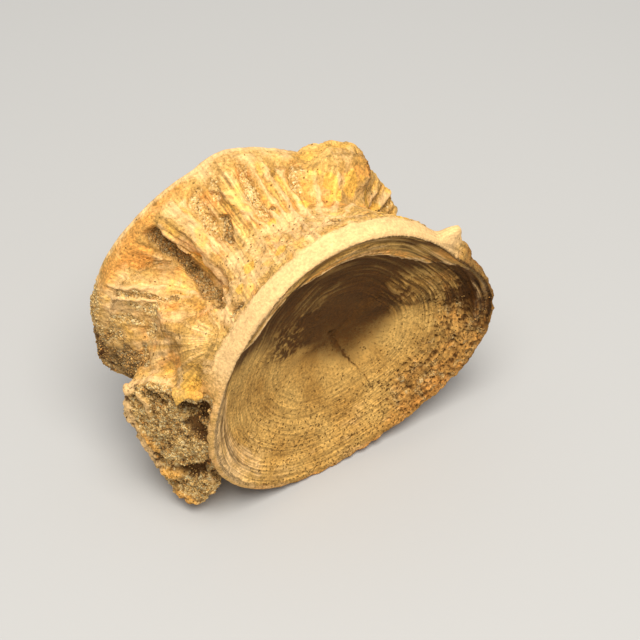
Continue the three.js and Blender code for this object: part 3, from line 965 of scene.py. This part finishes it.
def fracture_face(part):
    """The flat, rough sandy face of the fracture, with hollows under its overhanging sheet that are darkened
    as painted shadow, and painted shade between its grains.
    """
    points, on, chart = part.points, part.on, part.fracture
    warp = 0.6 * np.stack([lumps(points, 2.2, 81), lumps(points, 2.2, 82)], axis=1)
    height, kinds = drawn_lines(chart, FACE_LINES, warp)
    edge_height = np.interp(chart[:, 0], *zip(*SHEET_EDGE))
    above = chart[:, 1] + 0.5 * warp[:, 1] - edge_height
    sheet = smooth(above, -0.1, 0.3) * (1 - smooth(chart[:, 0], 26, 28))
    hollow, flake, crest, stain = (kinds[kind] for kind in ("hollow", "flake", "crest", "stain"))
    hollow = hollow * (1 - sheet)
    grain_height = grained(points, 1.15, 84)[0]
    bare = (1 - sheet) * (1 - 0.8 * flake)
    rugged = rough(points, 4.5, 85)
    fine_height = grained(points, 0.7, 87)[0]
    height = np.where(height < 0, height * (1 - sheet), height) + sheet * (0.7 - 0.1 * above)
    height += bare * (0.8 * grain_height + 0.3 * fine_height + 0.6 * rugged + 0.3 * lumps(points, 1.8, 86))
    part.height += on * height
    part.sand = mix(part.sand, bare * (1 - 0.75 * crest - 0.6 * stain) * (1 - 0.5 * hollow), on)
    part.gold += on * (0.5 * sheet * (1 - smooth(above, 1.5, 3.5)) + 0.45 * stain)
    part.cream = mix(part.cream, 0.6 * flake + 0.8 * crest, on)
    rusty = 0.8 * stain + 0.3 * sheet + 0.4 * smooth(rugged, 0.1, 0.6)
    part.amber = mix(part.amber, np.clip(rusty, 0, 1), on)
    # Painted shade in the gaps between the grains.
    gaps = 0.54 * smooth(-grain_height, 0.05, 0.25) + 0.22 * smooth(-fine_height, 0.1, 0.3)
    # Umber: painted shadow in the hollows under the sheet, and painted shade between grains.
    part.umber += on * (0.9 * hollow + bare * (0.04 + gaps + 0.3 * smooth(-rugged, 0.05, 0.5)))
    part.pores += 0.5 * on * bare


def stump_sides(part):
    """The top of the stump, where the side's fibres run on, and its pale crest, gritty underside and foot."""
    points, on = part.points, part.on
    top = smooth(points[:, 2], 30, 35)
    foot = hump(np.linalg.norm(points - np.array(LUMP_MIDDLE), axis=1), LUMP_RADIUS * 1.5, 0.7)
    outward = fracture_place(points)[0]
    crest = smooth(outward, FRACTURE_DISTANCE - 4, FRACTURE_DISTANCE - 2) * smooth(points[:, 2], 9, 13)
    fibre = streaks(part, 0.9, 12, 91)
    grain_height, number = grained(points, 1.1, 92)
    rugged = rough(points, 4.5, 93)
    gritty = (1 - top) * (1 - 0.5 * foot) * (1 - 0.8 * crest)
    part.height += on * (0.25 * fibre * top + gritty * 0.5 * grain_height + 0.55 * rugged)
    part.cream += on * np.maximum((0.7 * top + 0.2 * foot) * smooth(fibre, -0.2, 0.4), 0.8 * crest)
    part.amber += on * (0.5 * foot + 0.5 * smooth(rugged, 0, 0.5))
    part.gold += 0.2 * on * foot
    part.sand += on * (gritty + 0.4 * top * smooth(lumps(points, 3, 94), 0, 0.4))
    part.umber += on * gritty * (0.3 * (number > 0.7) + 0.3 * smooth(-rugged, 0, 0.5))
    part.pores += 0.4 * on


# ------------------------------------------------------------------ the bone

RELIEFS = (
    ("front_cup", front_cup), ("back_cup", back_cup), ("side", side), ("front_band", front_rim),
    ("back_band", back_rim), ("face", fracture_face), ("stump", stump_sides),
)


def write_float(mesh, name, values):
    attribute = mesh.attributes.new(name, "FLOAT", "POINT")
    attribute.data.foreach_set("value", np.asarray(values, np.float32))


def to_row_frame(points):
    """Millimetres in the fossil's own frame to metres in the row frame."""
    return (points + np.array(AXIS_FOOT)) * MM


def build_bone(sizes):
    """The whole bone as one mesh, with its tints as attributes for the material."""
    mesh, found = joined_bone(sizes)
    where = survey(sizes, found)
    for region, relief in RELIEFS:
        carve(where, getattr(where, region), relief)
    points = where.points + vectors(mesh.vertices, "normal") * where.height[:, None]
    points[:, 2] = np.maximum(points[:, 2], 0)
    mesh.vertices.foreach_set("co", points.ravel())
    for tint in TINTS:
        write_float(mesh, tint, np.clip(getattr(where, tint), 0, 1))
    write_float(mesh, "across", where.across)
    mesh.calc_loop_triangles()
    piece = mesh_object("bone_fine", mesh)
    thin = piece.modifiers.new("thin", "DECIMATE")
    thin.ratio = min(1, sizes.faces / len(mesh.loop_triangles))
    thin.use_collapse_triangulate = True
    mesh = applied(piece)
    mesh.vertices.foreach_set("co", to_row_frame(vectors(mesh.vertices, "co")).ravel())
    mesh.polygons.foreach_set("use_smooth", np.ones(len(mesh.polygons), bool))
    mesh.update()
    mesh.name = BONE
    return mesh_object(BONE, mesh)


# ------------------------------------------------------------------ the grains

GRAIN_SPREAD = 0.32  # spread of the grains' sizes, as a share
GRAIN_SQUASH = (1.0, 0.85, 0.7)


def turned_randomly(random, count):
    """Rotation matrices that point in every direction alike."""
    turns = random.normal(size=(4, count))
    w, x, y, z = turns / np.linalg.norm(turns, axis=0)
    rows = (
        (1 - 2 * (y * y + z * z), 2 * (x * y - z * w), 2 * (x * z + y * w)),
        (2 * (x * y + z * w), 1 - 2 * (x * x + z * z), 2 * (y * z - x * w)),
        (2 * (x * z - y * w), 2 * (y * z + x * w), 1 - 2 * (x * x + y * y)),
    )
    return np.array(rows).transpose(2, 0, 1)


def build_grains(sizes, bone):
    """Sand grains stuck to the bone wherever there is matrix, as one mesh of small rounded stones."""
    random = np.random.default_rng(19)
    mesh = bone.data
    sand, umber = np.empty((2, len(mesh.vertices)), np.float32)
    mesh.attributes["sand"].data.foreach_get("value", sand)
    mesh.attributes["umber"].data.foreach_get("value", umber)
    mesh.calc_loop_triangles()
    corners = np.empty(len(mesh.loop_triangles) * 3, int)
    mesh.loop_triangles.foreach_get("vertices", corners)
    corners = corners.reshape(-1, 3)
    places = vectors(mesh.vertices, "co")[corners]
    across = np.cross(places[:, 1] - places[:, 0], places[:, 2] - places[:, 0])
    area = np.linalg.norm(across, axis=1)
    dark = smooth(umber[corners].mean(axis=1), 0.05, 0.5)
    chance = area * mix(0.35, 1, dark) * np.clip(sand[corners].mean(axis=1) - 0.25, 0, 1) ** 1.5
    chosen = random.choice(len(corners), size=sizes.grains, p=chance / chance.sum())
    spread = random.dirichlet((1, 1, 1), size=sizes.grains)
    size = sizes.grain / 2 * np.exp(GRAIN_SPREAD * random.normal(size=sizes.grains))
    middles = (places[chosen] * spread[:, :, None]).sum(axis=1)
    middles[:, 2] = np.maximum(middles[:, 2], size)

    bm = bmesh.new()
    bmesh.ops.create_icosphere(bm, subdivisions=1, radius=1)
    stone = np.array([v.co[:] for v in bm.verts])
    faces = np.array([[v.index for v in face.verts] for face in bm.faces])
    bm.free()
    shapes = stone * np.array(GRAIN_SQUASH) * (1 + 0.16 * random.normal(size=(sizes.grains, len(stone), 1)))
    turned = np.einsum("nij,nvj->nvi", turned_randomly(random, sizes.grains), shapes)
    points = turned * size[:, None, None] + middles[:, None, :]
    faces = faces + (np.arange(sizes.grains) * len(stone))[:, None, None]
    heap = bpy.data.meshes.new(GRAINS)
    heap.from_pydata(points.reshape(-1, 3), [], faces.reshape(-1, 3).tolist())
    # Grains are darker where the bone's umber is, which is stain in some places and painted shade in others.
    stained = dark[chosen]
    tone = mix(0.4 * stained, 1, random.random(sizes.grains) ** mix(2.0, 0.6, stained))
    write_float(heap, "tone", np.repeat(tone, len(stone)))
    return mesh_object(GRAINS, heap)


# ------------------------------------------------------------------ materials

def add(tree, kind, inputs=None, **settings):
    """Adds a shader node with its settings, and links or sets its inputs by name or number."""
    node = tree.nodes.new("ShaderNode" + kind)
    for name, value in settings.items():
        setattr(node, name, value)
    for socket, value in (inputs or {}).items():
        if isinstance(value, bpy.types.NodeSocket):
            tree.links.new(value, node.inputs[socket])
        else:
            node.inputs[socket].default_value = value
    return node


NOISES = {  # size of the largest lumps in millimetres, detail, roughness
    "broad": (9, 3, 0.55),
    "medium": (2.4, 4, 0.65),
    "fine": (0.6, 2, 0.7),
}
# How each tint is laid on: (tint, noise that breaks its edge, spread, where it starts, where full, most).
LAYERS = (
    ("amber", "medium", 1.1, 0.25, 1.05, 0.85),
    ("cream", "medium", 0.9, 0.15, 0.9, 0.95),
    ("gold", "medium", 0.7, 0.25, 0.75, 0.8),
    ("sand", "fine", 0.8, 0.2, 0.8, 0.9),
    ("umber", "fine", 0.8, 0.2, 1.0, 0.95),
)
FIBRE = (0.5, 8.0)  # how fine the fibres and rings are across and along, in millimetres
PORES = ((0.85, 0.12, 0.3), (0.5, 0.18, 0.4))  # distance between pores in millimetres, hole and edge
PORE_SHIFT = 0.7  # how far the pores are moved off their grid, in millimetres
SPECK = 0.45  # size of the sand's grains, in millimetres
FINE_RELIEF = 0.4  # height of the relief that is finer than the mesh, in millimetres
PATTERN_PLACE = Vector((137, 211, 173)) * MM  # puts the patterns' own origin well clear of the bone
PATTERN_TURN = (0.5, 0.35, 0.8)  # turns their grid, in radians, so that none of it lines up with the rims


def fibre_pattern(tree, place):
    """Fibres and growth rings: noise drawn out along them."""
    across = add(tree, "Attribute", attribute_name="across").outputs["Fac"]
    sideways = add(tree, "CombineXYZ", {"Z": across})
    long_way = add(tree, "VectorMath", {0: place, 3: 1 / (FIBRE[1] * MM)}, operation="SCALE")
    fine_way = add(tree, "VectorMath", {0: sideways.outputs[0], 3: 1 / FIBRE[0]}, operation="SCALE")
    inputs = {0: long_way.outputs[0], 1: fine_way.outputs[0]}
    drawn = add(tree, "VectorMath", inputs, operation="ADD")
    return add(tree, "TexNoise", {"Vector": drawn.outputs[0], "Scale": 1, "Detail": 2}).outputs["Fac"]


def sand_paint(tree, grain, sand):
    """Sand: each grain its own colour, from pale quartz to dark phosphate, with painted shade in the gaps
    between grains, darker where the umber is.
    """
    number = add(tree, "SeparateColor", {0: grain.outputs["Color"]})
    pale = add(tree, "MapRange", {"Value": number.outputs[0], "From Min": 0.45, "From Max": 0.9})
    dark = add(tree, "MapRange", {"Value": number.outputs[1], "From Min": 0.7, "From Max": 0.95})
    inputs = {0: pale.outputs[0], 6: sand, 7: linear("efd8a0")}
    light_sand = add(tree, "Mix", inputs, data_type="RGBA").outputs[2]
    inputs = {0: dark.outputs[0], 6: light_sand, 7: linear("a5793c")}
    mixed_sand = add(tree, "Mix", inputs, data_type="RGBA").outputs[2]
    stain = add(tree, "Attribute", attribute_name="umber").outputs["Fac"]
    # Painted shade in the gaps between grains, with each grain's middle a little lighter.
    darkest = add(tree, "MapRange", {"Value": stain, "From Max": 0.5, "To Min": 0.8, "To Max": 0.4})
    inputs = {
        "Value": grain.outputs["Distance"], "From Min": 0.35, "From Max": 0.8, "To Min": 1.06,
        "To Max": darkest.outputs[0],
    }
    gap = add(tree, "MapRange", inputs).outputs[0]
    return add(tree, "VectorMath", {0: mixed_sand, 1: gap}, operation="MULTIPLY").outputs[0]


def pore_pattern(tree, place, noises):
    """Pores, each a small pit: the more porous the bone, the more of them are open."""
    pores = add(tree, "Attribute", attribute_name="pores").outputs["Fac"]
    patchy = add(tree, "Math", {0: pores, 1: noises["medium"]}, operation="MULTIPLY")
    shift = add(tree, "VectorMath", {0: noises["fine"], 3: PORE_SHIFT * MM}, operation="SCALE")
    shifted = add(tree, "VectorMath", {0: place, 1: shift.outputs[0]}, operation="ADD")
    pitted = 0.0
    for apart, hole, edge in PORES:
        pore = add(tree, "TexVoronoi", {"Vector": shifted.outputs[0], "Scale": 1 / (apart * MM)})
        chance = add(tree, "SeparateColor", {0: pore.outputs["Color"]})
        opened = add(tree, "Math", {0: chance.outputs[0], 1: patchy.outputs[0]}, operation="LESS_THAN")
        inputs = {
            "Value": pore.outputs["Distance"], "From Min": hole, "From Max": edge, "To Min": 1, "To Max": 0,
        }
        depth = add(tree, "MapRange", inputs)
        inputs = {0: depth.outputs["Result"], 1: opened.outputs[0], 2: pitted}
        pitted = add(tree, "Math", inputs, operation="MULTIPLY_ADD").outputs[0]
    return pitted


def mineral_bone(colours):
    """Mineralised bone: dry and matt, with fine fibres, iron stains, dark pores and sand in its hollows."""
    material = bpy.data.materials.new("mineralised_bone")
    material.use_nodes = True
    tree = material.node_tree
    tree.nodes.clear()
    inputs = {
        "Vector": add(tree, "TexCoord").outputs["Object"],
        "Location": PATTERN_PLACE,
        "Rotation": PATTERN_TURN,
    }
    place = add(tree, "Mapping", inputs).outputs[0]
    noises = {}
    for name, (size, detail, roughness) in NOISES.items():
        inputs = {"Vector": place, "Scale": 1 / (size * MM), "Detail": detail, "Roughness": roughness}
        noises[name] = add(tree, "TexNoise", inputs).outputs["Fac"]
    fibre = fibre_pattern(tree, place)

    # Clean bone of the cups, lighter and darker in broad clouds.
    clouds = add(tree, "MapRange", {"Value": noises["broad"], "From Min": 0.35, "From Max": 0.65})
    inputs = {0: clouds.outputs[0], 6: linear("bd8d45"), 7: colours.tan}
    paint = add(tree, "Mix", inputs, data_type="RGBA").outputs[2]

    # Stains, painted shade (in the umber), clean bone and sand over it, each with a ragged edge.
    grain = add(tree, "TexVoronoi", {"Vector": place, "Scale": 1 / (SPECK * MM)})
    paints = {
        "amber": colours.amber, "cream": colours.cream, "gold": colours.gold,
        "sand": sand_paint(tree, grain, colours.sand), "umber": colours.umber,
    }
    amounts = {}
    for tint, noise, spread, start, full, most in LAYERS:
        given = add(tree, "Attribute", attribute_name=tint).outputs["Fac"]
        ragged = add(tree, "Math", {0: noises[noise], 1: spread, 2: given}, operation="MULTIPLY_ADD")
        inputs = {
            "Value": ragged.outputs[0], "From Min": start + spread / 2, "From Max": full + spread / 2,
            "To Max": most,
        }
        laid = add(tree, "MapRange", inputs, interpolation_type="SMOOTHSTEP")
        amounts[tint] = laid.outputs["Result"]
        inputs = {0: amounts[tint], 6: paint, 7: paints[tint]}
        paint = add(tree, "Mix", inputs, data_type="RGBA").outputs[2]

    # Fine mottling, and fibres and rings where the bone is layered, lighten and darken it.
    layered = add(tree, "Attribute", attribute_name="layered").outputs["Fac"]
    uneven = add(tree, "Math", {0: amounts["cream"], 1: -0.6, 2: 1.0}, operation="MULTIPLY_ADD").outputs[0]
    for pattern, darkest, lightest, by in (
        (fibre, -0.6, 0.4, layered), (noises["fine"], -0.36, 0.28, uneven),
        (noises["medium"], -0.12, 0.1, 1.0),
    ):
        inputs = {
            "Value": pattern, "From Min": 0.32, "From Max": 0.68, "To Min": darkest, "To Max": lightest,
        }
        level = add(tree, "MapRange", inputs).outputs["Result"]
        light = add(tree, "Math", {0: level, 1: by, 2: 1.0}, operation="MULTIPLY_ADD").outputs[0]
        paint = add(tree, "VectorMath", {0: paint, 1: light}, operation="MULTIPLY").outputs[0]
    pitted = pore_pattern(tree, place, noises)
    stained = add(tree, "Math", {0: pitted, 1: 0.7}, operation="MULTIPLY", use_clamp=True)
    inputs = {0: stained.outputs[0], 6: paint, 7: linear("65400f")}
    paint = add(tree, "Mix", inputs, data_type="RGBA").outputs[2]

    # Relief finer than the mesh: grains, fibres, mottling and pores.
    height = add(tree, "Math", {0: noises["fine"], 1: 0.6}, operation="MULTIPLY").outputs[0]
    for pattern, amount, by in (
        (fibre, 0.9, layered), (grain.outputs["Distance"], -1.0, amounts["sand"]), (pitted, -0.8, None)
    ):
        if by:
            pattern = add(tree, "Math", {0: pattern, 1: by}, operation="MULTIPLY").outputs[0]
        height = add(tree, "Math", {0: pattern, 1: amount, 2: height}, operation="MULTIPLY_ADD").outputs[0]
    bump = add(tree, "Bump", {"Height": height, "Strength": 1.0, "Distance": FINE_RELIEF * MM})
    inputs = {"Base Color": paint, "Normal": bump.outputs[0], "Roughness": 0.88, "IOR": 1.3}
    shader = add(tree, "BsdfPrincipled", inputs)
    add(tree, "OutputMaterial", {"Surface": shader.outputs[0]})
    return material


# Colours of the grains by their tone: (tone from which it holds, colour).
GRAIN_TONES = (
    (0.0, "e3c483"), (0.25, "d2a965"), (0.55, "bb8c4b"), (0.75, "936b36"), (0.88, "6e4c23"), (0.95, "50361a"),
    (0.98, "cf8b3f"),
)


def phosphate_sand():
    """Quartz and phosphate sand: each grain one tone, from pale to dark brown, and dusty."""
    material = bpy.data.materials.new("phosphate_sand")
    material.use_nodes = True
    tree = material.node_tree
    tree.nodes.clear()
    tone = add(tree, "Attribute", attribute_name="tone").outputs["Fac"]
    tones = add(tree, "ValToRGB", {"Fac": tone})
    tones.color_ramp.interpolation = "CONSTANT"
    for i, (start, hex_colour) in enumerate(GRAIN_TONES):
        stop = tones.color_ramp.elements[i] if i < 2 else tones.color_ramp.elements.new(start)
        stop.position = start
        stop.color = linear(hex_colour)
    place = add(tree, "TexCoord").outputs["Object"]
    dust = add(tree, "TexNoise", {"Vector": place, "Scale": 1 / (0.3 * MM), "Detail": 2})
    inputs = {"Value": dust.outputs["Fac"], "From Min": 0.4, "From Max": 0.7, "To Max": 0.5}
    dusty = add(tree, "MapRange", inputs).outputs[0]
    inputs = {0: dusty, 6: tones.outputs[0], 7: linear("d9b06c")}
    paint = add(tree, "Mix", inputs, data_type="RGBA").outputs[2]
    shader = add(tree, "BsdfPrincipled", {"Base Color": paint, "Roughness": 0.85, "IOR": 1.35})
    add(tree, "OutputMaterial", {"Surface": shader.outputs[0]})
    return material


def matt_paint(name, paint):
    """Matt painted board: even, with no gloss to draw the eye from the fossil."""
    material = bpy.data.materials.new(name)
    material.use_nodes = True
    shader = material.node_tree.nodes["Principled BSDF"]
    shader.inputs["Base Color"].default_value = paint
    shader.inputs["Roughness"].default_value = 0.9
    return material


# ------------------------------------------------------------------ studio

CAMERA_AZIMUTH = math.radians(-31)
CAMERA_HEIGHT = math.radians(50)
CAMERA_DISTANCE = 0.370
CAMERA_ANGLE = math.radians(20)
AIM_OFFSET = Vector((-0.07, -10.3, 5.96)) * MM  # from the middle of the fossil
LIGHT_DIRECTION = Vector((-0.1, -0.26, 1)).normalized()
LIGHT_DISTANCE = 0.6
LIGHT_SIZE = 0.4
FLOOR_HALF = 3


def build_floor(stage):
    bm = bmesh.new()
    bmesh.ops.create_grid(bm, x_segments=1, y_segments=1, size=FLOOR_HALF)
    mesh = bpy.data.meshes.new("floor")
    bm.to_mesh(mesh)
    bm.free()
    floor = mesh_object("floor", mesh)
    floor.data.materials.append(matt_paint("floor_paint", stage.floor))


def build_camera():
    aim = (cad_box[0] + cad_box[1]) / 2 + AIM_OFFSET
    back = Vector((math.sin(CAMERA_AZIMUTH), -math.cos(CAMERA_AZIMUTH), math.tan(CAMERA_HEIGHT))).normalized()
    camera = bpy.data.cameras.new("camera")
    camera.angle = CAMERA_ANGLE
    camera.clip_start = 0.01
    holder = bpy.data.objects.new("camera", camera)
    bpy.context.scene.collection.objects.link(holder)
    holder.location = aim + back * CAMERA_DISTANCE
    holder.rotation_euler = back.to_track_quat("Z", "Y").to_euler()
    bpy.context.scene.camera = holder


def build_lights(stage):
    light = bpy.data.lights.new("softbox", "AREA")
    light.shape = "DISK"
    light.size = LIGHT_SIZE
    light.energy = stage.light
    light.color = linear("fffaf2")[:3]
    holder = bpy.data.objects.new("softbox", light)
    bpy.context.scene.collection.objects.link(holder)
    holder.location = LIGHT_DIRECTION * LIGHT_DISTANCE
    holder.rotation_euler = LIGHT_DIRECTION.to_track_quat("Z", "Y").to_euler()
    world = bpy.data.worlds.new("studio")
    world.use_nodes = True
    world.node_tree.nodes["Background"].inputs["Color"].default_value = linear("f2f2f2")
    world.node_tree.nodes["Background"].inputs["Strength"].default_value = stage.fill
    bpy.context.scene.world = world
    bpy.context.scene.view_settings.view_transform = "Standard"


# ------------------------------------------------------------------ operators

def finished(piece, material):
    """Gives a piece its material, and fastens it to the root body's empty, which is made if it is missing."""
    piece.data.materials.clear()
    piece.data.materials.append(material)
    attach(piece, "root")


class FOSSIL_OT_bone(Operator):
    """Build the vertebra's bone, with its matrix crust"""

    bl_idname = "fossil.bone"
    bl_label = "Build Bone"

    def execute(self, context):
        bone = build_bone(context.scene.fossil_sizes)
        finished(bone, mineral_bone(context.scene.fossil_colours))
        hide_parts(NODE)
        return {"FINISHED"}


class FOSSIL_OT_grains(Operator):
    """Scatter sand grains over the bone's matrix"""

    bl_idname = "fossil.grains"
    bl_label = "Scatter Grains"

    def execute(self, context):
        bone = bpy.data.objects.get(BONE)
        if bone is None:
            raise RuntimeError("build the bone before its grains")
        finished(build_grains(context.scene.fossil_sizes, bone), phosphate_sand())
        return {"FINISHED"}


class FOSSIL_OT_stage(Operator):
    """Build the floor, the soft light and the camera"""

    bl_idname = "fossil.stage"
    bl_label = "Build Studio"

    def execute(self, context):
        stage = context.scene.fossil_stage
        build_floor(stage)
        build_camera()
        build_lights(stage)
        return {"FINISHED"}


class FOSSIL_PT_panel(Panel):
    """The fossil's settings and builders"""

    bl_idname = "FOSSIL_PT_panel"
    bl_label = "Fossil Vertebra"
    bl_space_type = "VIEW_3D"
    bl_region_type = "UI"
    bl_category = "Fossil"

    def draw(self, context):
        for group in (context.scene.fossil_sizes, context.scene.fossil_colours, context.scene.fossil_stage):
            box = self.layout.box()
            for name in group.bl_rna.properties.keys():
                if name not in ("rna_type", "name"):
                    box.prop(group, name)
        for operator in OPERATORS:
            self.layout.operator(operator.bl_idname)


OPERATORS = (FOSSIL_OT_bone, FOSSIL_OT_grains, FOSSIL_OT_stage)
CLASSES = (FossilSizes, FossilColours, FossilStage) + OPERATORS + (FOSSIL_PT_panel,)


def register():
    for cls in CLASSES:
        bpy.utils.register_class(cls)
    bpy.types.Scene.fossil_sizes = PointerProperty(type=FossilSizes)
    bpy.types.Scene.fossil_colours = PointerProperty(type=FossilColours)
    bpy.types.Scene.fossil_stage = PointerProperty(type=FossilStage)


def unregister():
    del bpy.types.Scene.fossil_stage
    del bpy.types.Scene.fossil_colours
    del bpy.types.Scene.fossil_sizes
    for cls in reversed(CLASSES):
        bpy.utils.unregister_class(cls)


def main():
    register()
    bpy.ops.fossil.bone()
    bpy.ops.fossil.grains()
    bpy.ops.fossil.stage()


if __name__ == "__main__":
    main()
